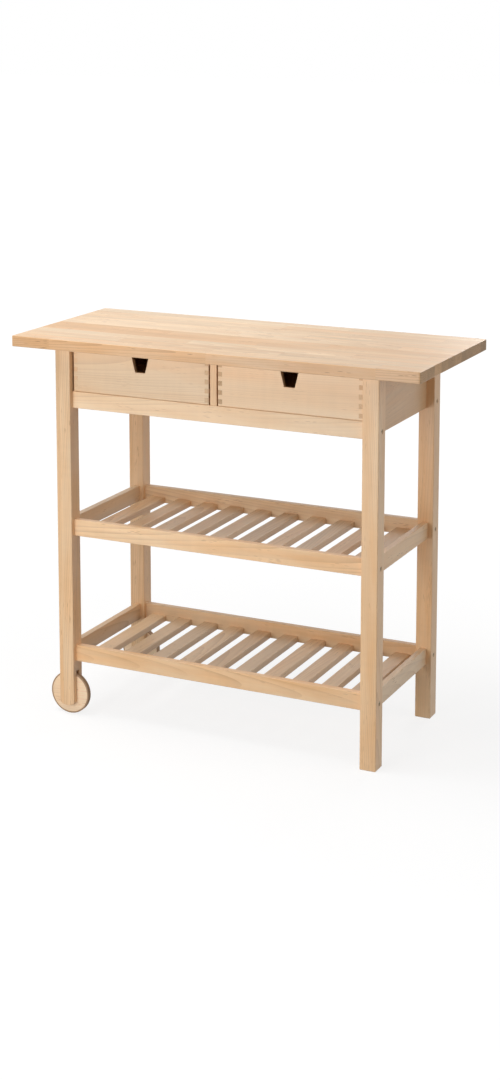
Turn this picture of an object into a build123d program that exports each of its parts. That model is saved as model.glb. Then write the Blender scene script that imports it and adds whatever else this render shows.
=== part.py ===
"""Kitchen trolley table in solid birch: worktop, two through drawers, two slatted shelves, two wheels.

Millimetres.  X runs along the worktop, Y from the front to the back, Z up.  The origin lies on the
floor, under the middle of the worktop.
"""
from build123d import *
import os
from math import sqrt

# Worktop
top_length = 1000.0
top_depth = 430.0
top_thickness = 25.0
top_height = 900.0
top_corner_radius = 4.0
top_edge_radius = 2.0
end_overhang = 101.0
front_overhang = 25.0

# Legs
leg_section = 38.0
leg_easing = 1.2
foot_chamfer = 1.5

# Rails: one section for the shelf frames and the drawer frame
rail_height = 39.0
rail_thickness = 15.0
rail_setback = 12.5
rail_easing = 0.8
lower_rail_top = 169.5
drawer_bay_height = 100.0

# Shelf slats
slat_count = 10
slat_width = 38.0
slat_thickness = 15.0
slat_end_gap = 28.5
slat_easing = 1.0
tenon_width = 24.0
tenon_thickness = 7.0
tenon_length = 6.0
mortise_clearance = 0.2

# Side aprons, drawer divider and runners
apron_height = 135.0
apron_thickness = 15.0
apron_setback = 20.0
divider_thickness = 16.0
runner_width = 18.0
runner_height = 20.0

# Drawers
drawer_board = 10.0
drawer_setback = 13.5
drawer_side_gap = 3.5
drawer_lift = 0.3
drawer_top_gap = 1.7
drawer_easing = 1.2
finger_ends = 5
notch_top_width = 46.0
notch_foot_width = 25.5
notch_depth = 41.0
notch_corner_radius = 3.0
panel_thickness = 4.0
panel_height = 8.0
groove_depth = 5.0
groove_clearance = 0.2

# Wheels, let into the two left legs
wheel_diameter = 100.0
wheel_width = 12.0
tyre_thickness = 3.0
tyre_edge_radius = 1.2
disc_easing = 0.8
wheel_side_gap = 1.0
slot_top_gap = 6.0
cheek_radius = 27.0
axle_diameter = 8.0
axle_clearance = 0.1
axle_cover = 4.0
axle_end_gap = 1.5

# Connector bolts with barrel nuts, from the outer faces of the legs into the long rails
bolt_diameter = 6.0
bolt_length = 70.0
bolt_head_diameter = 10.0
bolt_head_height = 3.0
bolt_socket = 4.0
bolt_socket_depth = 2.0
bolt_sink = 4.0
bolt_hole_clearance = 0.3
nut_diameter = 10.0
nut_length = 12.0
nut_inset = 30.0
nut_slot_width = 1.6
nut_slot_depth = 1.2
nut_hole_clearance = 0.1

# Wooden dowels
dowel_diameter = 8.0
dowel_length = 30.0
dowel_hole_clearance = 0.05
rail_dowel_spacing = 20.0
apron_dowel_spacing = 70.0
top_dowel_spacing = 160.0

# Places that follow from the sizes above
leg_top = top_height - top_thickness
half_leg = leg_section / 2
leg_outer_x = top_length / 2 - end_overhang
leg_outer_y = top_depth / 2 - front_overhang
leg_inner_x = leg_outer_x - leg_section
leg_inner_y = leg_outer_y - leg_section
leg_x = leg_outer_x - half_leg
leg_y = leg_outer_y - half_leg
rail_y = leg_outer_y - rail_setback - rail_thickness / 2
rail_inner_y = rail_y - rail_thickness / 2
side_rail_x = leg_outer_x - rail_setback - rail_thickness / 2
end_slat_x = side_rail_x - rail_thickness / 2 - slat_end_gap - slat_width / 2
slat_pitch = 2 * end_slat_x / (slat_count - 1)
drawer_rail_top = leg_top - drawer_bay_height
middle_rail_top = (lower_rail_top + drawer_rail_top) / 2
rail_levels = [top - rail_height / 2 for top in (lower_rail_top, middle_rail_top, drawer_rail_top)]
apron_x = leg_outer_x - apron_setback - apron_thickness / 2
apron_inner_x = apron_x - apron_thickness / 2
apron_bottom = leg_top - apron_height
apron_middle = leg_top - apron_height / 2
drawer_half_depth = leg_outer_y - drawer_setback
drawer_bottom = drawer_rail_top + drawer_lift
drawer_height = drawer_bay_height - drawer_lift - drawer_top_gap
bay_width = leg_inner_x - divider_thickness / 2
drawer_width = bay_width - 2 * drawer_side_gap
drawer_x = (leg_inner_x + divider_thickness / 2) / 2
finger = drawer_height / (2 * finger_ends - 0.5)
wheel_radius = wheel_diameter / 2
disc_radius = wheel_radius - tyre_thickness
slot_width = wheel_width + 2 * wheel_side_gap
slot_top = wheel_diameter + slot_top_gap

os.makedirs("parts", exist_ok=True)


def save(piece, name):
    """Label a finished piece and write it to its own file."""
    piece.part.label = name
    export_step(piece.part, f"parts/{name}.step")


def block(x_range, y_range, z_range, mode=Mode.ADD):
    """Add a straight board, or cut one away, between the given limits."""
    middle = ((x_range[0] + x_range[1]) / 2, (y_range[0] + y_range[1]) / 2)
    with BuildSketch(Plane.XY.offset(z_range[0])) as outline:
        with Locations(middle):
            Rectangle(x_range[1] - x_range[0], y_range[1] - y_range[0])
    extrude(outline.sketch, amount=z_range[1] - z_range[0], mode=mode)


def bore(mouth, direction, diameter, depth):
    """Drill a blind round hole from its mouth into the wood."""
    outward = tuple(-d for d in direction)
    with Locations(Plane(origin=mouth, z_dir=outward)):
        Hole(diameter / 2, depth)


def dowel_hole(mouth, direction):
    """Drill one half of a dowel's seat."""
    bore(mouth, direction, dowel_diameter + 2 * dowel_hole_clearance, dowel_length / 2)


def rod(start, direction, diameter, length):
    """Add a plain round rod that begins at start and runs along direction."""
    with BuildSketch(Plane(origin=start, z_dir=direction)) as section:
        Circle(diameter / 2)
    extrude(section.sketch, amount=length)


def spread(count, pitch):
    """Places of a row that is centred on zero."""
    return [(index - (count - 1) / 2) * pitch for index in range(count)]


# Dowel places, shared by the holes and the dowels
side_rail_dowel_heights = [z + dz for z in rail_levels[:2] for dz in spread(2, rail_dowel_spacing)]
apron_dowel_heights = [apron_middle + dz for dz in spread(2, apron_dowel_spacing)]
leg_top_dowels = [(sx * leg_x, sy * leg_y) for sx in (-1, 1) for sy in (-1, 1)]
apron_top_dowels = [(sx * apron_x, y) for sx in (-1, 1) for y in spread(2, top_dowel_spacing)]
divider_top_dowels = [(0.0, y) for y in spread(2, top_dowel_spacing)]


# Worktop
with BuildPart() as worktop:
    block((-top_length / 2, top_length / 2), (-top_depth / 2, top_depth / 2), (leg_top, top_height))
    fillet(worktop.edges().filter_by(Axis.Z), top_corner_radius)
    fillet(worktop.faces().sort_by(Axis.Z)[-1].edges(), top_edge_radius)
    chamfer(worktop.faces().sort_by(Axis.Z)[0].edges(), top_edge_radius / 2)
    for x, y in leg_top_dowels + apron_top_dowels + divider_top_dowels:
        dowel_hole((x, y, leg_top), (0, 0, 1))
save(worktop, "worktop")


def leg_bores(sx, sy):
    """Drill a leg for its bolts and for the dowels of its side rails, apron and worktop."""
    for z in rail_levels:
        with Locations(Plane(origin=(sx * leg_outer_x, sy * rail_y, z), z_dir=(sx, 0, 0))):
            CounterBoreHole(
                bolt_diameter / 2 + bolt_hole_clearance,
                bolt_head_diameter / 2 + bolt_hole_clearance,
                bolt_sink,
            )
    for z in side_rail_dowel_heights:
        dowel_hole((sx * side_rail_x, sy * leg_inner_y, z), (0, sy, 0))
    for z in apron_dowel_heights:
        dowel_hole((sx * apron_x, sy * leg_inner_y, z), (0, sy, 0))
    dowel_hole((sx * leg_x, sy * leg_y, leg_top), (0, 0, -1))


def plain_leg(sx, sy, name):
    """A square leg that stands on the floor."""
    with BuildPart() as leg:
        with BuildSketch():
            with Locations((sx * leg_x, sy * leg_y)):
                Rectangle(leg_section, leg_section)
        extrude(amount=leg_top)
        chamfer(leg.faces().sort_by(Axis.Z)[0].edges(), foot_chamfer)
        chamfer(leg.edges().filter_by(Axis.Z), leg_easing)
        leg_bores(sx, sy)
    save(leg, name)


def wheel_leg(sx, sy, name):
    """A leg whose rounded foot is slotted into two cheeks that carry a wheel."""
    x = sx * leg_x
    corner_z = wheel_radius - sqrt(cheek_radius**2 - half_leg**2)
    near_y, far_y = sorted((sy * leg_outer_y, sy * leg_inner_y))
    with BuildPart() as leg:
        with BuildSketch(Plane.XZ.offset(-near_y)):
            with BuildLine():
                Polyline(
                    (x + half_leg, corner_z),
                    (x + half_leg, leg_top),
                    (x - half_leg, leg_top),
                    (x - half_leg, corner_z),
                )
                ThreePointArc(
                    (x - half_leg, corner_z),
                    (x, wheel_radius - cheek_radius),
                    (x + half_leg, corner_z),
                )
            make_face()
        extrude(amount=near_y - far_y)
        chamfer(leg.edges().filter_by(Axis.Z), leg_easing)
        leg_bores(sx, sy)
        slot_y = (sy * leg_y - slot_width / 2, sy * leg_y + slot_width / 2)
        block((x - leg_section, x + leg_section), slot_y, (0, slot_top), mode=Mode.SUBTRACT)
        bore((x, sy * leg_inner_y, wheel_radius), (0, sy, 0), axle_diameter, leg_section - axle_cover)
    save(leg, name)


wheel_leg(-1, -1, "front_left_leg")
wheel_leg(-1, 1, "rear_left_leg")
plain_leg(1, -1, "front_right_leg")
plain_leg(1, 1, "rear_right_leg")


def long_rail(sy, top, name, mortises=False):
    """A rail between two legs, bored at each end for a bolt and, from behind, for its barrel nut."""
    level = top - rail_height / 2
    with BuildPart() as rail:
        block(
            (-leg_inner_x, leg_inner_x),
            sorted((sy * rail_inner_y, sy * (rail_inner_y + rail_thickness))),
            (top - rail_height, top),
        )
        chamfer(rail.edges().filter_by(Axis.X), rail_easing)
        for sx in (-1, 1):
            bore(
                (sx * leg_inner_x, sy * rail_y, level),
                (-sx, 0, 0),
                bolt_diameter + 2 * bolt_hole_clearance,
                bolt_length - leg_section + 2 * bolt_sink,
            )
            bore(
                (sx * (leg_inner_x - nut_inset), sy * rail_y + rail_thickness / 2, level),
                (0, -1, 0),
                nut_diameter + 2 * nut_hole_clearance,
                (rail_thickness + nut_length) / 2,
            )
        if mortises:
            seat_bottom = top - rail_height + (slat_thickness - tenon_thickness) / 2
            for x in spread(slat_count, slat_pitch):
                block(
                    (x - tenon_width / 2, x + tenon_width / 2),
                    sorted((sy * rail_inner_y, sy * (rail_inner_y + tenon_length + mortise_clearance))),
                    (seat_bottom, seat_bottom + tenon_thickness),
                    mode=Mode.SUBTRACT,
                )
    save(rail, name)


def side_rail(sx, top, name):
    """A short rail between a front leg and a rear leg, dowelled at its ends."""
    with BuildPart() as rail:
        block(
            (sx * side_rail_x - rail_thickness / 2, sx * side_rail_x + rail_thickness / 2),
            (-leg_inner_y, leg_inner_y),
            (top - rail_height, top),
        )
        chamfer(rail.edges().filter_by(Axis.Y), rail_easing)
        for sy in (-1, 1):
            for dz in spread(2, rail_dowel_spacing):
                dowel_hole((sx * side_rail_x, sy * leg_inner_y, top - rail_height / 2 + dz), (0, -sy, 0))
    save(rail, name)


def slat(x, bottom, name):
    """A shelf slat with a stub tenon at each end."""
    with BuildPart() as board:
        block(
            (x - slat_width / 2, x + slat_width / 2),
            (-rail_inner_y, rail_inner_y),
            (bottom, bottom + slat_thickness),
        )
        chamfer(board.edges().filter_by(Axis.Y), slat_easing)
        tenon_bottom = bottom + (slat_thickness - tenon_thickness) / 2
        for sy in (-1, 1):
            block(
                (x - tenon_width / 2, x + tenon_width / 2),
                sorted((sy * rail_inner_y, sy * (rail_inner_y + tenon_length))),
                (tenon_bottom, tenon_bottom + tenon_thickness),
            )
    save(board, name)


def shelf(level_name, top):
    """Four rails and their row of slats, which lie flush with the undersides of the rails."""
    long_rail(-1, top, f"{level_name}_shelf_front_rail", mortises=True)
    long_rail(1, top, f"{level_name}_shelf_rear_rail", mortises=True)
    side_rail(-1, top, f"{level_name}_shelf_left_rail")
    side_rail(1, top, f"{level_name}_shelf_right_rail")
    for number, x in enumerate(spread(slat_count, slat_pitch), start=1):
        slat(x, top - rail_height, f"{level_name}_shelf_slat_{number:02d}")


shelf("middle", middle_rail_top)
shelf("lower", lower_rail_top)
long_rail(-1, drawer_rail_top, "front_drawer_rail")
long_rail(1, drawer_rail_top, "rear_drawer_rail")


def apron(sx, name):
    """A deep board that closes the drawer bay at one end of the frame."""
    with BuildPart() as board:
        block(
            (sx * apron_x - apron_thickness / 2, sx * apron_x + apron_thickness / 2),
            (-leg_inner_y, leg_inner_y),
            (apron_bottom, leg_top),
        )
        chamfer(board.faces().sort_by(Axis.Z)[0].edges().filter_by(Axis.Y), rail_easing)
        for z in apron_dowel_heights:
            for sy in (-1, 1):
                dowel_hole((sx * apron_x, sy * leg_inner_y, z), (0, -sy, 0))
        for y in spread(2, top_dowel_spacing):
            dowel_hole((sx * apron_x, y, leg_top), (0, 0, -1))
    save(board, name)


apron(-1, "left_apron")
apron(1, "right_apron")

# The divider stands on both drawer rails, and its foot drops in between them
with BuildPart() as divider:
    divider_x = (-divider_thickness / 2, divider_thickness / 2)
    block(divider_x, (-drawer_half_depth, drawer_half_depth), (drawer_rail_top, leg_top))
    block(divider_x, (-rail_inner_y, rail_inner_y), (drawer_rail_top - rail_height, drawer_rail_top))
    for x, y in divider_top_dowels:
        dowel_hole((x, y, leg_top), (0, 0, -1))
save(divider, "drawer_divider")


def runner(wall_x, inward, name):
    """A strip on a wall of the bay, level with the rails, that one drawer side slides on."""
    with BuildPart() as strip:
        block(
            sorted((wall_x, wall_x + inward * runner_width)),
            (-leg_inner_y, leg_inner_y),
            (drawer_rail_top - runner_height, drawer_rail_top),
        )
        chamfer(strip.faces().sort_by(Axis.Z)[0].edges().filter_by(Axis.Y), rail_easing)
    save(strip, name)


runner(-apron_inner_x, 1, "left_outer_runner")
runner(-divider_thickness / 2, -1, "left_inner_runner")
runner(divider_thickness / 2, 1, "right_inner_runner")
runner(apron_inner_x, -1, "right_outer_runner")


def drawer_ends(x, side_name):
    """The front and the back: finger ends, and a notch in the top edge to pull by."""
    board_x = (x - drawer_width / 2, x + drawer_width / 2)
    notch_foot = drawer_bottom + drawer_height - notch_depth
    for sy, end_name in ((-1, "front"), (1, "back")):
        near_y, far_y = sorted((sy * drawer_half_depth, sy * (drawer_half_depth - drawer_board)))
        with BuildPart() as board:
            block(board_x, (near_y, far_y), (drawer_bottom, drawer_bottom + drawer_height))
            with BuildSketch(Plane.XZ.offset(-near_y)) as notch:
                with BuildLine():
                    Polyline(
                        (x - notch_top_width / 2, notch_foot + notch_depth),
                        (x - notch_foot_width / 2, notch_foot),
                        (x + notch_foot_width / 2, notch_foot),
                        (x + notch_top_width / 2, notch_foot + notch_depth),
                        close=True,
                    )
                make_face()
                fillet(notch.vertices().group_by(Axis.Z)[0], notch_corner_radius)
            extrude(amount=-drawer_board, mode=Mode.SUBTRACT)
            for index in range(finger_ends):
                socket_bottom = drawer_bottom + (2 * index + 0.5) * finger
                for edge, inward in zip(board_x, (1, -1)):
                    block(
                        sorted((edge, edge + inward * drawer_board)),
                        (near_y, far_y),
                        (socket_bottom, socket_bottom + finger),
                        mode=Mode.SUBTRACT,
                    )
            bottom_groove(x)
            lower_edges = board.edges().filter_by(Axis.X).group_by(Axis.Z)[0]
            chamfer(lower_edges.sort_by(Axis.Y)[0 if sy < 0 else -1], drawer_easing)
        save(board, f"{side_name}_drawer_{end_name}")


def drawer_sides(x, side_name):
    """The two sides, whose fingers run through the front and the back."""
    for sx in (-1, 1):
        outer = x + sx * drawer_width / 2
        board_x = sorted((outer, outer - sx * drawer_board))
        with BuildPart() as board:
            block(
                board_x,
                (-drawer_half_depth, drawer_half_depth),
                (drawer_bottom, drawer_bottom + drawer_height),
            )
            for sy in (-1, 1):
                socket_y = sorted((sy * drawer_half_depth, sy * (drawer_half_depth - drawer_board)))
                for index in range(finger_ends):
                    socket_top = drawer_bottom + (2 * index + 0.5) * finger
                    socket_bottom = max(socket_top - finger, drawer_bottom)
                    block(board_x, socket_y, (socket_bottom, socket_top), mode=Mode.SUBTRACT)
            bottom_groove(x)
        facing = "outer" if sx * x > 0 else "inner"
        save(board, f"{side_name}_drawer_{facing}_side")


def panel_limits(x, clearance=0.0):
    """Limits of a drawer's bottom panel, let into the four boards."""
    half_width = drawer_width / 2 - drawer_board + groove_depth - groove_clearance + clearance
    half_depth = drawer_half_depth - drawer_board + groove_depth - groove_clearance + clearance
    low = drawer_bottom + panel_height
    return (x - half_width, x + half_width), (-half_depth, half_depth), (low, low + panel_thickness)


def bottom_groove(x):
    """Cut the stopped groove that holds the bottom panel."""
    block(*panel_limits(x, groove_clearance), mode=Mode.SUBTRACT)


def drawer(x, side_name):
    """A box of four finger-jointed boards round a bottom panel, which slides both ways."""
    drawer_ends(x, side_name)
    drawer_sides(x, side_name)
    with BuildPart() as panel:
        block(*panel_limits(x))
    save(panel, f"{side_name}_drawer_bottom")


drawer(-drawer_x, "left")
drawer(drawer_x, "right")


def wheel(sy, name):
    """A turned wooden disc with a rubber tyre."""
    x = -leg_x
    near_y = sy * leg_y - wheel_width / 2
    face = Plane.XZ.offset(-near_y)
    with BuildPart() as disc:
        with BuildSketch(face):
            with Locations((x, wheel_radius)):
                Circle(disc_radius)
                Circle(axle_diameter / 2 + axle_clearance, mode=Mode.SUBTRACT)
        extrude(amount=-wheel_width)
        rims = disc.edges().filter_by(GeomType.CIRCLE).group_by(SortBy.RADIUS)[-1]
        chamfer(rims, disc_easing)
    save(disc, name)
    with BuildPart() as tyre:
        with BuildSketch(face):
            with Locations((x, wheel_radius)):
                Circle(wheel_radius)
                Circle(disc_radius, mode=Mode.SUBTRACT)
        extrude(amount=-wheel_width)
        rims = tyre.edges().filter_by(GeomType.CIRCLE).group_by(SortBy.RADIUS)[-1]
        fillet(rims, tyre_edge_radius)
    save(tyre, f"{name}_tyre")


wheel(-1, "front_wheel")
wheel(1, "rear_wheel")

# Axle pins, seated in the cheeks: blind outside, flush inside
with BuildPart() as axles:
    for sy in (-1, 1):
        start = (-leg_x, sy * (leg_inner_y + axle_end_gap), wheel_radius)
        rod(start, (0, sy, 0), axle_diameter, leg_section - axle_cover - axle_end_gap)
save(axles, "wheel_axles")

# Connector bolts: a low round head with a hexagon socket on a plain shank
with BuildPart() as bolts:
    for sx in (-1, 1):
        seat_x = sx * (leg_outer_x - bolt_sink)
        for sy in (-1, 1):
            for z in rail_levels:
                rod((seat_x, sy * rail_y, z), (-sx, 0, 0), bolt_diameter, bolt_length)
                rod((seat_x, sy * rail_y, z), (sx, 0, 0), bolt_head_diameter, bolt_head_height)
                head_top = (seat_x + sx * bolt_head_height, sy * rail_y, z)
                with BuildSketch(Plane(origin=head_top, z_dir=(-sx, 0, 0))):
                    RegularPolygon(bolt_socket / 2, 6, major_radius=False)
                extrude(amount=bolt_socket_depth, mode=Mode.SUBTRACT)
save(bolts, "connector_bolts")

# Barrel nuts, let in from behind, each with its cross bore and a screwdriver slot
with BuildPart() as nuts:
    for sx in (-1, 1):
        x = sx * (leg_inner_x - nut_inset)
        for sy in (-1, 1):
            face_y = sy * rail_y + nut_length / 2
            for z in rail_levels:
                rod((x, face_y, z), (0, -1, 0), nut_diameter, nut_length)
                bore(
                    (x - nut_diameter, sy * rail_y, z),
                    (1, 0, 0),
                    bolt_diameter + 2 * nut_hole_clearance,
                    2 * nut_diameter,
                )
                block(
                    (x - nut_diameter / 2, x + nut_diameter / 2),
                    (face_y - nut_slot_depth, face_y),
                    (z - nut_slot_width / 2, z + nut_slot_width / 2),
                    mode=Mode.SUBTRACT,
                )
save(nuts, "barrel_nuts")

# Dowels: side rails and aprons to the legs, then legs, aprons and divider to the worktop
with BuildPart() as dowels:
    for sx in (-1, 1):
        for sy in (-1, 1):
            start_y = sy * (leg_inner_y - dowel_length / 2)
            for z in side_rail_dowel_heights:
                rod((sx * side_rail_x, start_y, z), (0, sy, 0), dowel_diameter, dowel_length)
            for z in apron_dowel_heights:
                rod((sx * apron_x, start_y, z), (0, sy, 0), dowel_diameter, dowel_length)
    for x, y in leg_top_dowels + apron_top_dowels + divider_top_dowels:
        rod((x, y, leg_top - dowel_length / 2), (0, 0, 1), dowel_diameter, dowel_length)
save(dowels, "dowels")
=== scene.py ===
"""Kitchen trolley table in solid birch: the looks of its CAD nodes, the floor, light and camera.

Metres.  X runs along the worktop, Y from the front to the back, Z up.  Every board keeps its CAD mesh
and gets a birch of its own cut, whose grain runs along the board and whose ends show end grain.
"""

from math import pi, radians

import bpy
import numpy as np
from bpy.props import FloatProperty, FloatVectorProperty, PointerProperty
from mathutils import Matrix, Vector


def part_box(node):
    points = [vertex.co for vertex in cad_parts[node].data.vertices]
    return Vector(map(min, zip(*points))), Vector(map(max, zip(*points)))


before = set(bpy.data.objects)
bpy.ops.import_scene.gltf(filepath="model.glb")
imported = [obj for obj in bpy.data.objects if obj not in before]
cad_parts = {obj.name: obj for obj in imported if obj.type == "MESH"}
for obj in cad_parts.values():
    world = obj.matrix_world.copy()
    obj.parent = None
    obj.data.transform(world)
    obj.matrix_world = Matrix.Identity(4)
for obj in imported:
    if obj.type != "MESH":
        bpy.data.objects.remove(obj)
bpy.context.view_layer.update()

bl_info = {
    "name": "Birch kitchen trolley",
    "version": (1, 0, 0),
    "blender": (4, 5, 0),
    "location": "View3D > Sidebar > Trolley",
    "description": "Finishes a birch kitchen trolley and sets it on a lit floor",
    "category": "Object",
}


# ---------------------------------------------------------------- settings


def colour(name, description, default):
    """A colour property, in linear light."""
    return FloatVectorProperty(
        name=name, description=description, default=default, subtype="COLOR", size=3, min=0.0, max=1.0
    )


def length(name, description, default):
    """A length property, in metres."""
    return FloatProperty(
        name=name, description=description, default=default, min=0.0, subtype="DISTANCE", unit="LENGTH"
    )


def share(name, description, default):
    """A property between none and all."""
    return FloatProperty(
        name=name, description=description, default=default, min=0.0, max=1.0, subtype="FACTOR"
    )


class TrolleyWood(bpy.types.PropertyGroup):
    """Colours and figure of the birch."""

    pale: colour("Pale birch", "Sapwood between the growth rings", (0.920, 0.675, 0.435))
    warm: colour("Warm birch", "Darker, more orange heartwood", (0.850, 0.510, 0.250))
    grey: colour("Grey birch", "Cooler, greyer boards", (0.820, 0.655, 0.485))
    end: colour("End grain", "Tint of the sawn ends", (0.570, 0.368, 0.200))
    fleck: colour("Flecks", "Small pith flecks", (0.330, 0.150, 0.055))
    ring_gap: length("Ring gap", "Distance between two growth rings", 0.0045)
    taper: share("Taper", "How fast the log narrows along the grain", 0.035)
    figure: share("Figure", "Strength of the growth rings", 0.36)
    fibre: share("Fibre", "Strength of the fine fibres", 0.15)
    stave_length: length("Stave length", "Length of one stave of the worktop", 0.40)


class TrolleyMetalAndRubber(bpy.types.PropertyGroup):
    """Colours of the fittings and the tyres."""

    zinc: colour("Zinc", "Yellow passivated zinc on steel", (0.560, 0.450, 0.300))
    rubber: colour("Rubber", "Brown rubber of the tyres", (0.480, 0.305, 0.180))
    ply_core: colour("Ply core", "Darker layers in the edge of the plywood", (0.430, 0.270, 0.140))


class TrolleyStage(bpy.types.PropertyGroup):
    """Light, floor and camera."""

    key: share("Key light", "Share of full light that the lamp above gives the worktop", 0.69)
    fill: share("Fill light", "Share of full light that the lamp in front gives the drawer fronts", 0.57)
    side: share("Side light", "Share of full light that the lamp at the right gives the legs", 0.175)
    back: share("Back light", "Share of full light that the lamp behind gives the drawer backs", 0.25)
    sky: share("Sky", "Strength of the even light from all round", 0.25)
    bounce: share("Floor bounce", "Share of the light that the floor gives back", 0.32)
    camera_place: FloatVectorProperty(
        name="Camera place", description="Where the camera stands",
        default=(1.844, -3.836, 1.674), subtype="TRANSLATION", unit="LENGTH", size=3,
    )
    camera_turn: FloatProperty(
        name="Camera turn", description="Turn to the left from looking along +Y",
        default=radians(25.61), subtype="ANGLE", unit="ROTATION",
    )
    camera_tilt: FloatProperty(
        name="Camera tilt", description="Tilt down from level",
        default=radians(8.27), subtype="ANGLE", unit="ROTATION",
    )
    camera_lens: FloatProperty(
        name="Lens", description="Focal length in millimetres", default=63.0, min=1.0, unit="CAMERA"
    )
    camera_fall: FloatProperty(
        name="Fall", description="Lens shift down, which keeps the legs nearly parallel", default=0.25
    )


# ---------------------------------------------------------------- node helpers


def feed(tree, node, feeds):
    """Give inputs their values. A value is plain, or the socket that the input is linked to."""
    for name, value in feeds.items():
        if isinstance(value, bpy.types.NodeSocket):
            tree.links.new(value, node.inputs[name])
        else:
            node.inputs[name].default_value = value


def add(tree, kind, feeds=None, **settings):
    """Add a node with these settings, and feed its inputs."""
    node = tree.nodes.new(kind)
    for name, value in settings.items():
        setattr(node, name, value)
    feed(tree, node, feeds or {})
    return node


def empty_tree(holder):
    """The node tree of a material or a world, emptied."""
    holder.use_nodes = True
    holder.node_tree.nodes.clear()
    return holder.node_tree


def maths(tree, operation, *values, clamp=False):
    """Work out a number from sockets and plain numbers."""
    feeds = dict(enumerate(values))
    return add(tree, "ShaderNodeMath", feeds, operation=operation, use_clamp=clamp).outputs[0]


def vectors(tree, operation, *values):
    """Work out a vector, or a number for a length or a dot product."""
    feeds = {0: values[0], "Scale": values[1]} if operation == "SCALE" else dict(enumerate(values))
    output = "Value" if operation in ("DOT_PRODUCT", "LENGTH") else "Vector"
    return add(tree, "ShaderNodeVectorMath", feeds, operation=operation).outputs[output]


def stretched(tree, vector, scales):
    """The same coordinates, each with a scale of its own."""
    return vectors(tree, "MULTIPLY", vector, scales)


def noise(tree, vector, scale=1.0, detail=2.0, roughness=0.5, output="Fac"):
    """Smooth noise round one half."""
    feeds = {"Vector": vector, "Scale": scale, "Detail": detail, "Roughness": roughness}
    return add(tree, "ShaderNodeTexNoise", feeds, noise_dimensions="3D").outputs[output]


def between(tree, value, low, high, to_low=0.0, to_high=1.0, soft=True):
    """Carry the span from low to high onto another span, and stop at its ends."""
    feeds = {"Value": value, "From Min": low, "From Max": high, "To Min": to_low, "To Max": to_high}
    kind = "SMOOTHSTEP" if soft else "LINEAR"
    return add(tree, "ShaderNodeMapRange", feeds, interpolation_type=kind, clamp=True).outputs["Result"]


def mixed(tree, share_of_second, first, second, blend="MIX"):
    """Mix two colours."""
    feeds = {0: share_of_second, 6: first, 7: second}  # the sockets of a mix of colours
    node = add(tree, "ShaderNodeMix", feeds, data_type="RGBA", blend_type=blend, clamp_factor=True)
    return node.outputs[2]


def rgba(values):
    """A colour with full alpha."""
    return (*values, 1.0)


def new_group(name, inputs, outputs):
    """An empty shader node group, its given values and its output node.

    An input is (name, kind, default), an output (name, kind).
    """
    group = bpy.data.node_groups.new(name, "ShaderNodeTree")
    kinds = {"number": "NodeSocketFloat", "vector": "NodeSocketVector", "colour": "NodeSocketColor"}
    for label, kind, default in inputs:
        socket = group.interface.new_socket(label, in_out="INPUT", socket_type=kinds[kind])
        socket.default_value = default
    for label, kind in outputs:
        group.interface.new_socket(label, in_out="OUTPUT", socket_type=kinds[kind])
    return group, group.nodes.new("NodeGroupInput").outputs, group.nodes.new("NodeGroupOutput")


def use_group(tree, group, feeds):
    """Place a node group and return its outputs."""
    return add(tree, "ShaderNodeGroup", feeds, node_tree=group).outputs


# ---------------------------------------------------------------- shared effects


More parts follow.
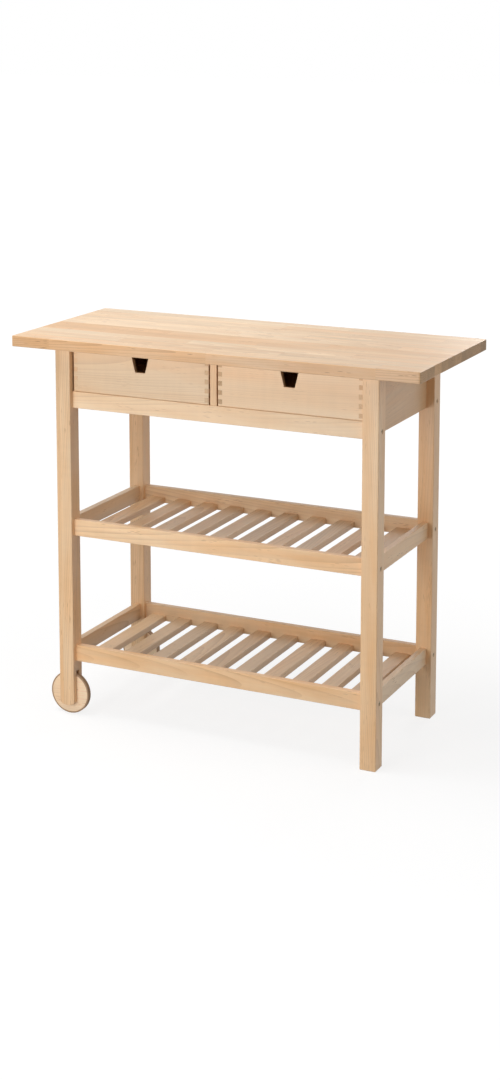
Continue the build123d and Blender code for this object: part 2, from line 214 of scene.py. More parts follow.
def birch_figure_group():
    """Birch as sawn from a log.

    Cut is the place in the log: X along the grain, Y and Z across it, measured from the pith.  With a
    slow warp w and the log's taper t, the ring number is n = (|(y, z) + w| + t x) / gap, so that a flat
    sawn face shows long arches.  Each ring darkens towards its end as (n - floor n)^3.  Fibres, flames,
    flecks and slow changes of tone are noise drawn out along the grain.
    """
    wood = bpy.context.scene.trolley_wood
    group, given, out = new_group(
        "Birch figure",
        [
            ("Cut", "vector", (0.0, 0.0, 0.0)),
            ("Start", "vector", (0.0, 0.0, 0.0)),
            ("Tone", "number", 0.0),
            ("Warmth", "number", 0.0),
            ("Ring gap", "number", wood.ring_gap),
            ("Taper", "number", wood.taper),
            ("Figure", "number", wood.figure),
            ("Fibre", "number", wood.fibre),
            ("End mask", "number", 0.0),
            ("Pale", "colour", rgba(wood.pale)),
            ("Warm", "colour", rgba(wood.warm)),
            ("Grey", "colour", rgba(wood.grey)),
            ("End", "colour", rgba(wood.end)),
            ("Flecks", "colour", rgba(wood.fleck)),
        ],
        [("Color", "colour"), ("Roughness", "number"), ("Height", "number")],
    )
    place = vectors(group, "ADD", given["Cut"], given["Start"])

    def grown(along, across, **settings):
        """Noise with this many swells to the metre along the grain and across it."""
        return noise(group, stretched(group, place, (along, across, across)), **settings)

    # Late wood: the rings wander within bend metres, are unevenly wide, and stand out in patches.
    bend, unevenness = 0.030, 1.6
    warp = vectors(group, "SUBTRACT", grown(1.1, 7.0, detail=1.0, output="Color"), (0.5, 0.5, 0.5))
    bent = vectors(group, "ADD", given["Cut"], stretched(group, warp, (0.0, bend, bend)))
    radius = vectors(group, "LENGTH", stretched(group, bent, (0.0, 1.0, 1.0)))
    lengthwise = add(group, "ShaderNodeSeparateXYZ", {0: given["Cut"]}).outputs["X"]
    radius = maths(group, "ADD", radius, maths(group, "MULTIPLY", lengthwise, given["Taper"]))
    rings = maths(group, "DIVIDE", radius, given["Ring gap"])
    feeds = {"W": rings, "Scale": 0.35, "Detail": 1.0}
    uneven = add(group, "ShaderNodeTexNoise", feeds, noise_dimensions="1D").outputs["Fac"]
    rings = maths(group, "ADD", rings, maths(group, "MULTIPLY", uneven, unevenness))
    late = maths(group, "POWER", maths(group, "FRACT", rings), 3.0)
    late = maths(group, "MULTIPLY", late, between(group, grown(2.0, 14.0, detail=1.0), 0.30, 0.70))

    # Small marks: a fleck fills the middle of its cell, a knot that of one cell in ten.
    def cells(along, across):
        """Scattered centres, so many to the metre along the grain and across it."""
        feeds = {"Vector": stretched(group, place, (along, across, across)), "Scale": 1.0}
        return add(group, "ShaderNodeTexVoronoi", feeds, feature="F1").outputs

    fleck = between(group, cells(38.0, 390.0)["Distance"], 0.34, 0.16)
    flecks = maths(group, "MULTIPLY", fleck, between(group, grown(9.0, 60.0, detail=1.0), 0.58, 0.66))
    knot = cells(5.0, 26.0)
    one_in_ten = add(group, "ShaderNodeSeparateColor", {0: knot["Color"]}).outputs[0]
    one_in_ten = maths(group, "GREATER_THAN", one_in_ten, 0.90)
    knots = maths(group, "MULTIPLY", between(group, knot["Distance"], 0.085, 0.03), one_in_ten)
    pore = between(group, cells(20.0, 1500.0)["Distance"], 0.45, 0.15)

    # Tint: warmer in slow changes and in flames, cooler where the warmth is below nought.
    slow = between(group, grown(1.3, 11.0, detail=2.0), 0.30, 0.78, 0.0, 0.55)
    flame = maths(group, "SUBTRACT", grown(7.0, 48.0, detail=3.0), 0.5)
    flame = maths(group, "MULTIPLY", flame, maths(group, "MULTIPLY", given["Figure"], 2.8))
    warmth = maths(group, "ADD", slow, given["Warmth"])
    warmth = maths(group, "ADD", warmth, flame, clamp=True)
    coolness = maths(group, "MULTIPLY", given["Warmth"], -1.0, clamp=True)
    tint = mixed(group, warmth, given["Pale"], given["Warm"])
    tint = mixed(group, coolness, tint, given["Grey"])
    late_share = maths(group, "MULTIPLY", late, given["Figure"])
    tint = mixed(group, late_share, tint, mixed(group, 0.75, given["Warm"], given["Flecks"]))

    # Shade: streaks, fibres and clouds less their mean, a ripple across the grain, the board's tone.
    streak = maths(group, "MULTIPLY", grown(2.2, 95.0, detail=3.0, roughness=0.6), 1.4)
    fibre = grown(16.0, 900.0, detail=2.0)
    cloud = maths(group, "MULTIPLY", grown(4.5, 30.0, detail=2.0), 1.4)
    grain = maths(group, "ADD", streak, maths(group, "MULTIPLY", fibre, 0.4))
    grain = maths(group, "SUBTRACT", maths(group, "ADD", grain, cloud), 1.6)
    shade = maths(group, "ADD", 1.0, maths(group, "MULTIPLY", grain, given["Fibre"]))
    ripple = maths(group, "SUBTRACT", grown(75.0, 12.0, detail=1.0), 0.5)
    shade = maths(group, "ADD", shade, maths(group, "MULTIPLY", ripple, 0.06))
    shade = maths(group, "ADD", shade, given["Tone"])
    shaded = add(group, "ShaderNodeCombineXYZ", {"X": shade, "Y": shade, "Z": shade}).outputs[0]
    tint = mixed(group, 1.0, tint, shaded, "MULTIPLY")
    flecks = maths(group, "MULTIPLY", flecks, maths(group, "MULTIPLY", given["Fibre"], 3.3))
    tint = mixed(group, flecks, tint, given["Flecks"])
    tint = mixed(group, maths(group, "MULTIPLY", knots, 0.60), tint, given["Flecks"])

    # Sawn ends: darker, with the rings and the open pores in the flecks' colour.
    warm_end = mixed(group, 0.5, given["End"], given["Warm"])
    sawn = mixed(group, maths(group, "MULTIPLY", warmth, 0.5), given["End"], warm_end)
    sawn = mixed(group, maths(group, "MULTIPLY", late, 0.6), sawn, given["Flecks"])
    sawn = mixed(group, 1.0, sawn, shaded, "MULTIPLY")
    sawn = mixed(group, maths(group, "MULTIPLY", pore, 0.45), sawn, given["Flecks"])
    tint = mixed(group, given["End mask"], tint, sawn)

    # A sawn end is rougher, and late wood, flecks and pores lie lower than the fibres.
    rough = between(group, fibre, 0.2, 0.8, 0.34, 0.46, soft=False)
    rough = maths(group, "ADD", rough, maths(group, "MULTIPLY", given["End mask"], 0.22))
    height = maths(group, "MULTIPLY", fibre, 0.6)
    height = maths(group, "ADD", height, maths(group, "MULTIPLY", late, -0.35))
    height = maths(group, "SUBTRACT", height, maths(group, "MULTIPLY", flecks, 0.6))
    height = maths(group, "SUBTRACT", height, maths(group, "MULTIPLY", pore, given["End mask"]))
    feed(group, out, {"Color": tint, "Roughness": rough, "Height": height})
    return group


def eased_edge_group():
    """Edges that the hand has eased: a normal rounded over a radius, and a mask of where it turns."""
    group, given, out = new_group(
        "Eased edge", [("Radius", "number", 0.0012)], [("Normal", "vector"), ("Edge", "number")]
    )
    rounded = add(group, "ShaderNodeBevel", {"Radius": given["Radius"]}, samples=4).outputs["Normal"]
    flat = add(group, "ShaderNodeNewGeometry").outputs["Normal"]
    turned = maths(group, "SUBTRACT", 1.0, vectors(group, "DOT_PRODUCT", rounded, flat))
    feed(group, out, {"Normal": rounded, "Edge": between(group, turned, 0.02, 0.25)})
    return group


def stave_group():
    """The worktop's staves, glued edge to edge and end to end.

    The row is floor((y - front) / width).  Each row's joints stand golden-ratio steps further along, so
    that no two neighbours meet.  The stave counts along the row, and the chance is white noise of the
    row and the stave.
    """
    golden = 0.618034
    wood = bpy.context.scene.trolley_wood
    group, given, out = new_group(
        "Glued staves",
        [
            ("Place", "vector", (0.0, 0.0, 0.0)),
            ("Front", "number", 0.0),
            ("Width", "number", 0.043),
            ("Length", "number", wood.stave_length),
            ("First joint", "number", -0.40),
        ],
        [
            ("Cut", "vector"),
            ("Start", "vector"),
            ("Row", "number"),
            ("Stave", "number"),
            ("Chance", "number"),
            ("Joint", "number"),
        ],
    )
    x, y, z = add(group, "ShaderNodeSeparateXYZ", {0: given["Place"]}).outputs
    rows = maths(group, "DIVIDE", maths(group, "SUBTRACT", y, given["Front"]), given["Width"])
    row = maths(group, "FLOOR", rows)
    step = maths(group, "FRACT", maths(group, "MULTIPLY", row, golden))
    along = maths(group, "DIVIDE", maths(group, "SUBTRACT", x, given["First joint"]), given["Length"])
    along = maths(group, "ADD", along, step)
    number = maths(group, "FLOOR", along)
    key = add(group, "ShaderNodeCombineXYZ", {"X": row, "Y": number}).outputs[0]
    chance = add(group, "ShaderNodeTexWhiteNoise", {"Vector": key}, noise_dimensions="2D").outputs
    red, green = add(group, "ShaderNodeSeparateColor", {0: chance["Color"]}).outputs[:2]

    # The pith lies up to 45 mm beside the stave's middle, and 0.86 to 0.96 m above the floor.
    in_stave = maths(group, "SUBTRACT", maths(group, "FRACT", rows), 0.5)
    aside = between(group, red, 0.0, 1.0, -0.045, 0.045, soft=False)
    lowered = between(group, green, 0.0, 1.0, -0.96, -0.86, soft=False)
    from_pith_y = maths(group, "ADD", maths(group, "MULTIPLY", in_stave, given["Width"]), aside)
    from_pith_z = maths(group, "ADD", z, lowered)
    cut = add(group, "ShaderNodeCombineXYZ", {"X": x, "Y": from_pith_y, "Z": from_pith_z}).outputs[0]
    start = vectors(group, "SCALE", chance["Color"], 37.0)

    # From a stave's middle its sides and its ends are half a stave away.
    side = between(group, maths(group, "ABSOLUTE", in_stave), 0.488, 0.4995)
    end = maths(group, "ABSOLUTE", maths(group, "SUBTRACT", maths(group, "FRACT", along), 0.5))
    end = between(group, end, 0.4990, 0.4998)
    joint = maths(group, "MAXIMUM", side, end)
    feeds = {"Cut": cut, "Start": start, "Row": row, "Stave": number, "Chance": chance["Value"]}
    feed(group, out, {**feeds, "Joint": joint})
    return group


FIGURE, EDGE, STAVES = "Birch figure", "Eased edge", "Glued staves"
GROUPS = {FIGURE: birch_figure_group, EDGE: eased_edge_group, STAVES: stave_group}


def shared(name):
    """A node group, built once and placed in each material that uses it."""
    return bpy.data.node_groups.get(name) or GROUPS[name]()


# ---------------------------------------------------------------- materials

# The axes that lie along the grain and across it, for each axis that the grain may follow.
GRAIN = {"x": ("X", "Y", "Z"), "y": ("Y", "Z", "X"), "z": ("Z", "X", "Y")}
PLY = "birch_ply"
NO_GLUE_LINE = -9.0  # an X to the left of every board
UP = (0.0, 0.0, 1.0)
WHITE = (1.0, 1.0, 1.0, 1.0)


def new_material(name):
    """A material, its node tree and its shader."""
    material = bpy.data.materials.new(name)
    tree = empty_tree(material)
    shader = add(tree, "ShaderNodeBsdfPrincipled")
    add(tree, "ShaderNodeOutputMaterial", {"Surface": shader.outputs["BSDF"]})
    return material, tree, shader


def own(tree, name, output="Fac"):
    """A property that each piece carries for itself."""
    return add(tree, "ShaderNodeAttribute", attribute_type="OBJECT", attribute_name=name).outputs[output]


def end_mask(tree, axis):
    """One where the face looks along the grain, which is where the board was sawn off."""
    facing = vectors(tree, "DOT_PRODUCT", add(tree, "ShaderNodeNewGeometry").outputs["Normal"], axis)
    return between(tree, maths(tree, "ABSOLUTE", facing), 0.80, 0.92)


def relief(tree, height, depth, strength, normal=None):
    """A normal that carries a fine relief of this depth in metres."""
    feeds = {"Height": height, "Distance": depth, "Strength": strength}
    if normal:
        feeds["Normal"] = normal
    return add(tree, "ShaderNodeBump", feeds).outputs["Normal"]


def finish_wood(tree, shader, wood, edges):
    """Join a figure and eased edges, worn a little paler, to the shader. Return the colour."""
    worn = (0.90, 0.74, 0.56, 1.0)
    base = mixed(tree, maths(tree, "MULTIPLY", edges["Edge"], 0.25), wood["Color"], worn)
    normal = relief(tree, wood["Height"], 0.00006, 0.6, edges["Normal"])
    feed(tree, shader, {"Base Color": base, "Roughness": wood["Roughness"], "Normal": normal})
    return base


def birch_board(name, grain):
    """Planed birch with its grain along one axis. Each board carries its pith, start, tone and warmth.

    Its fade is how much the tone changes over a metre along the grain, which on the legs is partly
    painted shade; a darker end is warmer too.
    A leg glued up from two strips also carries the X of its glue line, to the left of which the other
    strip has a start, tone and warmth of its own.
    """
    strip_darker, strip_warmer, strip_start = 0.04, 0.20, (7.0, 3.0, 5.0)
    warmth_of_fade = 1.5
    material, tree, shader = new_material(name)
    place = add(tree, "ShaderNodeTexCoord").outputs["Object"]
    x = add(tree, "ShaderNodeSeparateXYZ", {0: place}).outputs["X"]
    beyond = maths(tree, "LESS_THAN", x, own(tree, "glue_x"))
    from_pith = vectors(tree, "SUBTRACT", place, own(tree, "pith", "Vector"))
    parts = add(tree, "ShaderNodeSeparateXYZ", {0: from_pith}).outputs
    turned = {new: parts[old] for new, old in zip("XYZ", GRAIN[grain])}
    cut = add(tree, "ShaderNodeCombineXYZ", turned).outputs[0]
    axis = [float(letter == grain) for letter in "xyz"]
    faded = maths(tree, "MULTIPLY", turned["X"], own(tree, "fade"))
    tone = maths(tree, "ADD", own(tree, "tone"), faded)
    warmth = maths(tree, "ADD", own(tree, "warmth"), maths(tree, "MULTIPLY", beyond, strip_warmer))
    other_start = vectors(tree, "SCALE", strip_start, beyond)
    strength_of_end = maths(tree, "SUBTRACT", 1.0, own(tree, "faint_end"))
    wood = use_group(tree, shared(FIGURE), {
        "Cut": cut,
        "Start": vectors(tree, "ADD", own(tree, "start", "Vector"), other_start),
        "Tone": maths(tree, "SUBTRACT", tone, maths(tree, "MULTIPLY", beyond, strip_darker)),
        "Warmth": maths(tree, "SUBTRACT", warmth, maths(tree, "MULTIPLY", faded, warmth_of_fade)),
        "Figure": own(tree, "figure"),
        "Fibre": own(tree, "fibre"),
        "End mask": maths(tree, "MULTIPLY", end_mask(tree, axis), strength_of_end),
    })
    finish_wood(tree, shader, wood, use_group(tree, shared(EDGE), {}))
    return material


# Tone and warmth of the staves in each row of the worktop, from the front to the back.
STAVE_ROWS = (
    (-0.02, 0.34),
    (-0.06, 0.12),
    (0.00, 0.02),
    (-0.04, 0.80),
    (-0.03, 0.72),
    (0.05, -0.12),
    (0.05, -0.10),
    (0.03, 0.02),
    (0.03, 0.06),
    (0.03, -0.30),
)


def worktop_staves():
    """The worktop's glued staves.

    Each row has its own tone and warmth, and each stave a little more.  Towards the right end the
    worktop is darker and browner, the last stave of every row most of all, so there the rows differ
    less; the smooth darkening along X is partly browner wood and partly painted shade of the light
    falling off to the right.
    A ramp hands on each row's tone as red, tone + 1/2, and its warmth as green, (warmth + 1) / 2.
    """
    wood = bpy.context.scene.trolley_wood
    low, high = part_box("worktop")
    rows = len(STAVE_ROWS)
    material, tree, shader = new_material("glued_staves")
    place = add(tree, "ShaderNodeTexCoord").outputs["Object"]
    feeds = {"Place": place, "Front": low[1], "Width": (high[1] - low[1]) / rows}
    staves = use_group(tree, shared(STAVES), feeds)
    across = maths(tree, "DIVIDE", maths(tree, "ADD", staves["Row"], 0.5), float(rows))
    ramp = add(tree, "ShaderNodeValToRGB", {"Fac": across})
    ramp.color_ramp.interpolation = "CONSTANT"
    stops = ramp.color_ramp.elements
    stops.remove(stops[-1])
    for number, (tone, warmth) in enumerate(STAVE_ROWS):
        stop = stops[0] if number == 0 else stops.new(number / rows)
        stop.position = number / rows
        stop.color = (tone + 0.5, 0.5 * warmth + 0.5, 0.0, 1.0)

    # The darker, browner right end has a tone of -0.125 and a warmth of 0.42, and staves 2 and 3 are the
    # last.
    right_end = (0.375, 0.71, 0.0, 1.0)
    long_edge = end_mask(tree, (0.0, 1.0, 0.0))
    last = maths(tree, "GREATER_THAN", staves["Stave"], 1.5)
    x = add(tree, "ShaderNodeSeparateXYZ", {0: place}).outputs["X"]
    # A smooth ramp along X, partly browner wood and partly painted shade of the light falling off to the
    # right, and a step on the last staves, which is the wood's own tone.
    browner_and_shaded = between(tree, x, 0.0, 0.42, 0.0, 0.55)
    browner_and_shaded = maths(tree, "ADD", maths(tree, "MULTIPLY", last, 0.25), browner_and_shaded)
    browner_and_shaded = maths(tree, "MULTIPLY", browner_and_shaded, maths(tree, "SUBTRACT", 1.0, long_edge))
    evened = mixed(tree, browner_and_shaded, ramp.outputs["Color"], right_end)

    # The long edges are paler, which is painted light as from a lamp high in front, and warmer in their
    # wood, except that the last staves' are no warmer than the rest.
    # The sawn ends differ most from stave to stave.
    dry = maths(tree, "MULTIPLY", last, long_edge)
    tone, warmth = add(tree, "ShaderNodeSeparateColor", {0: evened}).outputs[:2]
    warmth = maths(tree, "SUBTRACT", maths(tree, "MULTIPLY", warmth, 2.0), 1.0)
    chance = maths(tree, "SUBTRACT", staves["Chance"], 0.5)
    sawn = end_mask(tree, (1.0, 0.0, 0.0))
    spread = maths(tree, "ADD", maths(tree, "MULTIPLY", sawn, 0.45), 0.05)
    tone = maths(tree, "SUBTRACT", tone, 0.5)
    # Painted light: this tone makes the long edges paler.
    tone = maths(tree, "ADD", tone, maths(tree, "MULTIPLY", long_edge, 0.185))
    warmth = maths(tree, "ADD", warmth, maths(tree, "MULTIPLY", long_edge, 0.40))
    warmth = maths(tree, "SUBTRACT", warmth, maths(tree, "MULTIPLY", dry, 0.42))
    turn = maths(tree, "ADD", maths(tree, "MULTIPLY", sawn, 1.2), 0.16)
    figure = use_group(tree, shared(FIGURE), {
        "Cut": staves["Cut"],
        "Start": staves["Start"],
        "Figure": between(tree, long_edge, 0.0, 1.0, 1.2 * wood.figure, 1.8 * wood.figure, soft=False),
        "Fibre": 1.5 * wood.fibre,
        "Tone": maths(tree, "ADD", tone, maths(tree, "MULTIPLY", chance, spread)),
        "Warmth": maths(tree, "ADD", warmth, maths(tree, "MULTIPLY", chance, turn)),
        "End mask": sawn,
    })
    edges = use_group(tree, shared(EDGE), {"Radius": 0.0015})
    planed = finish_wood(tree, shader, figure, edges)
    glued = mixed(tree, maths(tree, "MULTIPLY", staves["Joint"], 0.35), planed, rgba(wood.fleck))
    feed(tree, shader, {"Base Color": glued})
    return material


def ply_panel():
    """Birch plywood: a wide rotary-cut figure on its faces, and its layers on its edges."""
    fit = bpy.context.scene.trolley_fit
    material, tree, shader = new_material(PLY)
    place = add(tree, "ShaderNodeTexCoord").outputs["Object"]
    figure = use_group(tree, shared(FIGURE), {
        "Cut": vectors(tree, "SUBTRACT", place, own(tree, "pith", "Vector")),
        "Start": own(tree, "start", "Vector"),
        "Ring gap": 0.0015,
        "Figure": 0.35,
        "Tone": own(tree, "tone"),
        "Warmth": own(tree, "warmth"),
    })
    height = add(tree, "ShaderNodeSeparateXYZ", {0: place}).outputs["Z"]
    two_layers = 0.0024
    layer = maths(tree, "FRACT", maths(tree, "DIVIDE", height, two_layers))
    layer = maths(tree, "GREATER_THAN", layer, 0.5)
    up = vectors(tree, "DOT_PRODUCT", add(tree, "ShaderNodeNewGeometry").outputs["Normal"], UP)
    on_edge = between(tree, maths(tree, "ABSOLUTE", up), 0.5, 0.3)
    share_of_core = maths(tree, "MULTIPLY", maths(tree, "MULTIPLY", layer, on_edge), 0.8)
    base = mixed(tree, share_of_core, figure["Color"], rgba(fit.ply_core))
    normal = relief(tree, figure["Height"], 0.00005, 0.5)
    feed(tree, shader, {"Base Color": base, "Roughness": figure["Roughness"], "Normal": normal})
    return material


def tyre_rubber():
    """Matt moulded rubber with pale dust rubbed into its edges and scuffs on its tread."""
    fit = bpy.context.scene.trolley_fit
    material, tree, shader = new_material("brown_rubber")
    place = add(tree, "ShaderNodeTexCoord").outputs["Object"]
    mottle = noise(tree, place, 90.0, 4.0, 0.6)
    scuff = noise(tree, stretched(tree, place, (60.0, 420.0, 60.0)), detail=3.0)
    rounded = use_group(tree, shared(EDGE), {"Radius": 0.0010})
    darker, lighter = (rgba([times * part for part in fit.rubber]) for times in (0.85, 1.15))
    dust = maths(tree, "MULTIPLY", between(tree, scuff, 0.50, 0.72), 0.35)
    dust = maths(tree, "MAXIMUM", dust, maths(tree, "MULTIPLY", rounded["Edge"], 0.55))
    base = mixed(tree, dust, mixed(tree, mottle, darker, lighter), (0.560, 0.450, 0.350, 1.0))
    rough = between(tree, mottle, 0.3, 0.7, 0.68, 0.86, soft=False)
    normal = relief(tree, mottle, 0.0001, 0.5, rounded["Normal"])
    feed(tree, shader, {"Base Color": base, "Roughness": rough, "Normal": normal})
    return material


def zinc_steel():
    """Steel plated with yellow zinc, with its faint crystals and dull patches."""
    fit = bpy.context.scene.trolley_fit
    material, tree, shader = new_material("yellow_zinc")
    place = add(tree, "ShaderNodeTexCoord").outputs["Object"]
    crystal = add(tree, "ShaderNodeTexVoronoi", {"Vector": place, "Scale": 900.0}, feature="F1")
    dull = between(tree, noise(tree, place, 220.0, 3.0), 0.40, 0.65)
    rounded = use_group(tree, shared(EDGE), {"Radius": 0.0004})
    base = mixed(tree, dull, rgba(fit.zinc), rgba([0.62 * part for part in fit.zinc]))
    base = mixed(tree, maths(tree, "MULTIPLY", rounded["Edge"], 0.5), base, (0.72, 0.66, 0.55, 1.0))
    rough = between(tree, dull, 0.0, 1.0, 0.30, 0.52, soft=False)
    normal = relief(tree, crystal.outputs["Distance"], 0.00003, 0.4, rounded["Normal"])
    feed(tree, shader, {"Metallic": 1.0, "Base Color": base, "Roughness": rough, "Normal": normal})
    return material


def looked_at(tree):
    """One for a ray from the camera, straight or by way of a mirror or a pane."""
    path = add(tree, "ShaderNodeLightPath").outputs
    seen = maths(tree, "MAXIMUM", path["Is Camera Ray"], path["Is Glossy Ray"])
    return maths(tree, "MAXIMUM", seen, path["Is Transmission Ray"])


def matt_floor():
    """A white floor that keeps a soft contact shadow and fades to plain white away from the trolley.

    It looks white, but lights the trolley as a greyer floor would.
    """
    stage = bpy.context.scene.trolley_stage
    material = bpy.data.materials.new("matt_floor")
    tree = empty_tree(material)
    away = vectors(tree, "LENGTH", add(tree, "ShaderNodeTexCoord").outputs["Object"])
    plain = between(tree, away, 0.5, 1.9, 0.78, 1.0)
    grey = add(tree, "ShaderNodeBsdfDiffuse", {"Color": rgba([stage.bounce] * 3)})
    paint = add(tree, "ShaderNodeBsdfDiffuse", {"Color": WHITE})
    glow = add(tree, "ShaderNodeEmission", {"Color": WHITE, "Strength": 1.04})
    shown = add(tree, "ShaderNodeMixShader", {0: plain, 1: paint.outputs[0], 2: glow.outputs[0]})
    feeds = {0: looked_at(tree), 1: grey.outputs[0], 2: shown.outputs[0]}
    both = add(tree, "ShaderNodeMixShader", feeds)
    add(tree, "ShaderNodeOutputMaterial", {"Surface": both.outputs[0]})
    return material


def birch(grain):
    """The material of boards with the grain along one axis, or of plywood, made once."""
    if grain == "ply":
        return bpy.data.materials.get(PLY) or ply_panel()
    name = f"birch_along_{grain}"
    return bpy.data.materials.get(name) or birch_board(name, grain)


# ---------------------------------------------------------------- boards


def wear(node, material):
    """Give a CAD node its material."""
    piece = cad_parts[node]
    if not piece.material_slots:
        piece.data.materials.append(None)
    for place in piece.material_slots:
        place.material = material
    return piece


def cut_board(node, grain, tone=0.0, warmth=0.0, figure=1.0, fibre=1.0, fade=0.0, spread=1.0):
    """Saw a board of its own from the log.

    The pith lies beside the board's centre, mostly behind its wide face, which gives the face a soft
    flame figure.  How far, on which side, and the board's own tone come from its name alone.  Figure
    and fibre are shares of their usual strength, fade is how much the tone changes over a metre along
    the grain, and spread is how much its tone and warmth may differ from its neighbours'.
    """
    chance = np.random.default_rng([ord(letter) for letter in node])
    low, high = (np.array(corner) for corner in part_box(node))
    across = ["xyz".index(letter) for letter in "xyz" if letter != grain]
    thin = min(across, key=lambda axis: high[axis] - low[axis])
    wide = next(axis for axis in across if axis != thin)
    pith = (low + high) / 2
    either_side = (-1.0, 1.0)
    pith[thin] += chance.choice(either_side) * chance.uniform(0.0375, 0.0975)
    pith[wide] += chance.normal() * 0.5 * (high[wide] - low[wide]) + chance.choice(either_side) * 0.025
    piece = wear(node, birch(grain))
    piece["pith"] = [float(part) for part in pith]
    piece["start"] = [float(part) for part in chance.uniform(-30.0, 30.0, 3)]
    piece["tone"] = float(tone + chance.normal() * 0.02 * spread)
    piece["warmth"] = float(warmth + chance.normal() * 0.06 * spread)
    piece["figure"] = float(figure * bpy.context.scene.trolley_wood.figure)
    piece["fibre"] = float(fibre * bpy.context.scene.trolley_wood.fibre)
    piece["fade"] = fade
    piece["glue_x"] = NO_GLUE_LINE
    piece["faint_end"] = 0.0
    return piece


# ---------------------------------------------------------------- stage

# Where each lamp hangs, what it aims at and how wide it is.
LAMPS = {
    "key": ((-1.15, -0.5, 3.4), (0.0, 0.0, 0.9), 1.8),
    "fill": ((-0.5, -2.1, 0.70), (0.0, -0.2, 0.45), 1.4),
    "side": ((4.0, 0.4, 1.3), (0.4, 0.0, 0.5), 2.4),
    "back": ((0.3, 3.6, 1.8), (0.0, 0.2, 0.5), 2.2),
}


def lay_floor(scene):
    """Lay a flat floor under the wheels and the right legs."""
    mesh = bpy.data.meshes.new("floor")
    reach = 30.0
    corners = [(x * reach, y * reach, 0.0) for x, y in ((-1, -1), (1, -1), (1, 1), (-1, 1))]
    mesh.from_pydata(corners, [], [(0, 1, 2, 3)])
    floor = bpy.data.objects.new("floor", mesh)
    mesh.materials.append(matt_floor())
    scene.collection.objects.link(floor)


def hang_lamps(scene):
    """Hang the round soft lamps.

    A lamp's power is pi^2 d^2 s, where d is its distance from its aim and s its setting, so that at the
    aim a surface facing it gets the share s of full light.
    """
    for name, (place, aim, size) in LAMPS.items():
        lamp = bpy.data.lights.new(name, "AREA")
        lamp.shape = "DISK"
        lamp.size = size
        away = Vector(place) - Vector(aim)
        lamp.energy = pi**2 * away.length_squared * getattr(scene.trolley_stage, name)
        holder = bpy.data.objects.new(name, lamp)
        holder.location = place
        holder.rotation_euler = away.to_track_quat("Z", "Y").to_euler()
        scene.collection.objects.link(holder)


def light_sky(scene):
    """Light the trolley evenly from all round, in front of plain white."""
    sky = scene.trolley_stage.sky
    world = bpy.data.worlds.new("studio")
    tree = empty_tree(world)
    strength = maths(tree, "ADD", maths(tree, "MULTIPLY", looked_at(tree), 1.0 - sky), sky)
    background = add(tree, "ShaderNodeBackground", {"Color": WHITE, "Strength": strength})
    add(tree, "ShaderNodeOutputWorld", {"Surface": background.outputs[0]})
    scene.world = world
    scene.view_settings.view_transform = "Standard"


def set_camera(scene):
    """Set up the camera, tilted down a little and its lens shifted for the rest of the fall."""
    stage = scene.trolley_stage
    lens = bpy.data.cameras.new("camera")
    lens.sensor_fit = "AUTO"
    lens.sensor_width = 36.0
    lens.lens = stage.camera_lens
    lens.shift_y = -stage.camera_fall
    lens.clip_end = 100.0
    camera = bpy.data.objects.new("camera", lens)
    camera.location = stage.camera_place
    camera.rotation_euler = (radians(90.0) - stage.camera_tilt, 0.0, stage.camera_turn)
    scene.collection.objects.link(camera)
    scene.camera = camera


# ---------------------------------------------------------------- operators


class TROLLEY_OT_worktop(bpy.types.Operator):
    """Finish the worktop of glued birch staves"""

    bl_idname = "trolley.worktop"
    bl_label = "Worktop"

    def execute(self, context):
        wear("worktop", worktop_staves())
        return {"FINISHED"}


class TROLLEY_OT_legs(bpy.types.Operator):
    """Finish the four square legs, two of them slotted for the wheels"""

    bl_idname = "trolley.legs"
    bl_label = "Legs"

    def execute(self, context):
        narrow_strip = 0.0106
        # A negative fade darkens a leg towards the top: partly its wood, partly painted shade of the
        # worktop above.
        leg = cut_board("front_left_leg", "z", tone=0.03, warmth=0.25, fade=-0.14)
        leg["glue_x"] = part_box("front_left_leg")[0][0] + narrow_strip
        cut_board("rear_left_leg", "z", tone=-0.07, warmth=0.22)
        cut_board("front_right_leg", "z", tone=0.10, warmth=0.26, fibre=0.6, fade=-0.10)
        cut_board("rear_right_leg", "z", warmth=0.34, fibre=0.6, fade=-0.10)
        return {"FINISHED"}


class TROLLEY_OT_rails(bpy.types.Operator):
    """Finish the drawer rails, side aprons, divider and drawer runners"""

    bl_idname = "trolley.rails"
    bl_label = "Rails and aprons"

    def execute(self, context):
        cut_board("front_drawer_rail", "x", tone=0.095, warmth=0.04, fibre=0.7, fade=-0.13)
        cut_board("rear_drawer_rail", "x", tone=0.03)
        cut_board("left_apron", "y", warmth=0.10)
        cut_board("right_apron", "y", tone=-0.13, warmth=0.60, figure=0.8, fibre=0.6)
        cut_board("drawer_divider", "z", warmth=0.54)
        for runner in ("left_outer", "left_inner", "right_inner", "right_outer"):
            cut_board(f"{runner}_runner", "y")
        return {"FINISHED"}


class TROLLEY_OT_shelves(bpy.types.Operator):
    """Finish the two slatted shelves and the rails round them"""

    bl_idname = "trolley.shelves"
    bl_label = "Slatted shelves"

    def execute(self, context):
        for shelf in ("middle", "lower"):
            cut_board(f"{shelf}_shelf_front_rail", "x", tone=0.09, warmth=0.30, figure=1.5)
            cut_board(f"{shelf}_shelf_rear_rail", "x", tone=-0.09, warmth=0.16)
            cut_board(f"{shelf}_shelf_left_rail", "y", tone=-0.15, warmth=0.06)
            cut_board(f"{shelf}_shelf_right_rail", "y", tone=0.05, warmth=0.04)
            for node in sorted(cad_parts):
                if node.startswith(f"{shelf}_shelf_slat"):
                    cut_board(node, "y", tone=-0.08, spread=2.2)
        return {"FINISHED"}


# How much fainter than usual the end grain of each drawer side's fingers is.
FAINT_ENDS = {
    "left_drawer_outer_side": 0.90,
    "left_drawer_inner_side": 0.65,
    "right_drawer_inner_side": 0.20,
    "right_drawer_outer_side": 0.60,
}


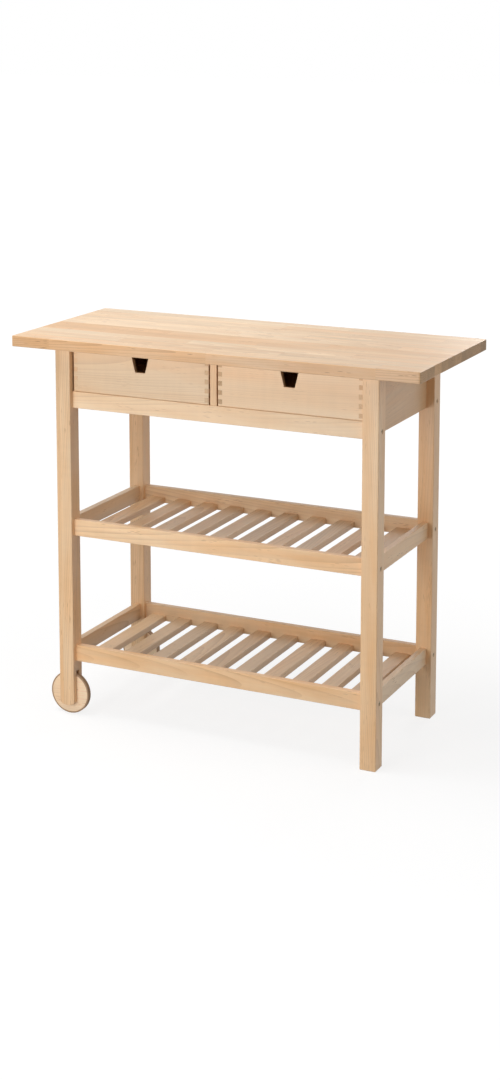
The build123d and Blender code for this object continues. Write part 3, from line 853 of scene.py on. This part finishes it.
class TROLLEY_OT_drawers(bpy.types.Operator):
    """Finish the two finger-jointed drawers"""

    bl_idname = "trolley.drawers"
    bl_label = "Drawers"

    def execute(self, context):
        for side, tone, figure in (("left", 0.0, 0.9), ("right", 0.03, 0.4)):
            cut_board(f"{side}_drawer_front", "x", tone=tone, warmth=-0.02, figure=figure, fibre=0.35)
            cut_board(f"{side}_drawer_back", "x")
            cut_board(f"{side}_drawer_outer_side", "y", warmth=0.30)
            cut_board(f"{side}_drawer_inner_side", "y", warmth=0.30)
            cut_board(f"{side}_drawer_bottom", "ply")
        for board, faint in FAINT_ENDS.items():
            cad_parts[board]["faint_end"] = faint
        return {"FINISHED"}


class TROLLEY_OT_wheels(bpy.types.Operator):
    """Finish the two turned wheels and their tyres"""

    bl_idname = "trolley.wheels"
    bl_label = "Wheels"

    def execute(self, context):
        rubber = tyre_rubber()
        for end in ("front", "rear"):
            # The fade darkens each wheel's face towards the left and makes it paler towards the right.
            cut_board(f"{end}_wheel", "x", tone=0.185, warmth=-0.42, fibre=0.9, fade=1.5)
            wear(f"{end}_wheel_tyre", rubber)
        return {"FINISHED"}


class TROLLEY_OT_fittings(bpy.types.Operator):
    """Finish the bolts, barrel nuts, axles and dowels"""

    bl_idname = "trolley.fittings"
    bl_label = "Fittings"

    def execute(self, context):
        steel = zinc_steel()
        for node in ("connector_bolts", "barrel_nuts", "wheel_axles"):
            wear(node, steel)
        cut_board("dowels", "x", tone=-0.05, warmth=0.10)
        return {"FINISHED"}


class TROLLEY_OT_stage(bpy.types.Operator):
    """Lay the floor, light it softly and set up the camera"""

    bl_idname = "trolley.stage"
    bl_label = "Floor, light and camera"

    def execute(self, context):
        lay_floor(context.scene)
        hang_lamps(context.scene)
        light_sky(context.scene)
        set_camera(context.scene)
        return {"FINISHED"}


OPERATORS = (
    TROLLEY_OT_worktop,
    TROLLEY_OT_legs,
    TROLLEY_OT_rails,
    TROLLEY_OT_shelves,
    TROLLEY_OT_drawers,
    TROLLEY_OT_wheels,
    TROLLEY_OT_fittings,
    TROLLEY_OT_stage,
)


class TROLLEY_PT_panel(bpy.types.Panel):
    """Settings and steps of the trolley"""

    bl_idname = "TROLLEY_PT_panel"
    bl_label = "Birch kitchen trolley"
    bl_space_type = "VIEW_3D"
    bl_region_type = "UI"
    bl_category = "Trolley"

    def draw(self, context):
        for title, group in SETTINGS.items():
            box = self.layout.box()
            box.label(text=group.__doc__)
            for name in group.__annotations__:
                box.prop(getattr(context.scene, title), name)
        for step in OPERATORS:
            self.layout.operator(step.bl_idname)


SETTINGS = {
    "trolley_wood": TrolleyWood,
    "trolley_fit": TrolleyMetalAndRubber,
    "trolley_stage": TrolleyStage,
}


def register():
    """Register the settings, the steps and the panel."""
    for title, group in SETTINGS.items():
        bpy.utils.register_class(group)
        setattr(bpy.types.Scene, title, PointerProperty(type=group))
    for item in (*OPERATORS, TROLLEY_PT_panel):
        bpy.utils.register_class(item)


def unregister():
    """Take them all away again."""
    for item in (TROLLEY_PT_panel, *reversed(OPERATORS)):
        bpy.utils.unregister_class(item)
    for title, group in SETTINGS.items():
        delattr(bpy.types.Scene, title)
        bpy.utils.unregister_class(group)


def main():
    """Register everything and carry out each step."""
    register()
    for step in OPERATORS:
        group, name = step.bl_idname.split(".")
        getattr(getattr(bpy.ops, group), name)()


if __name__ == "__main__":
    main()
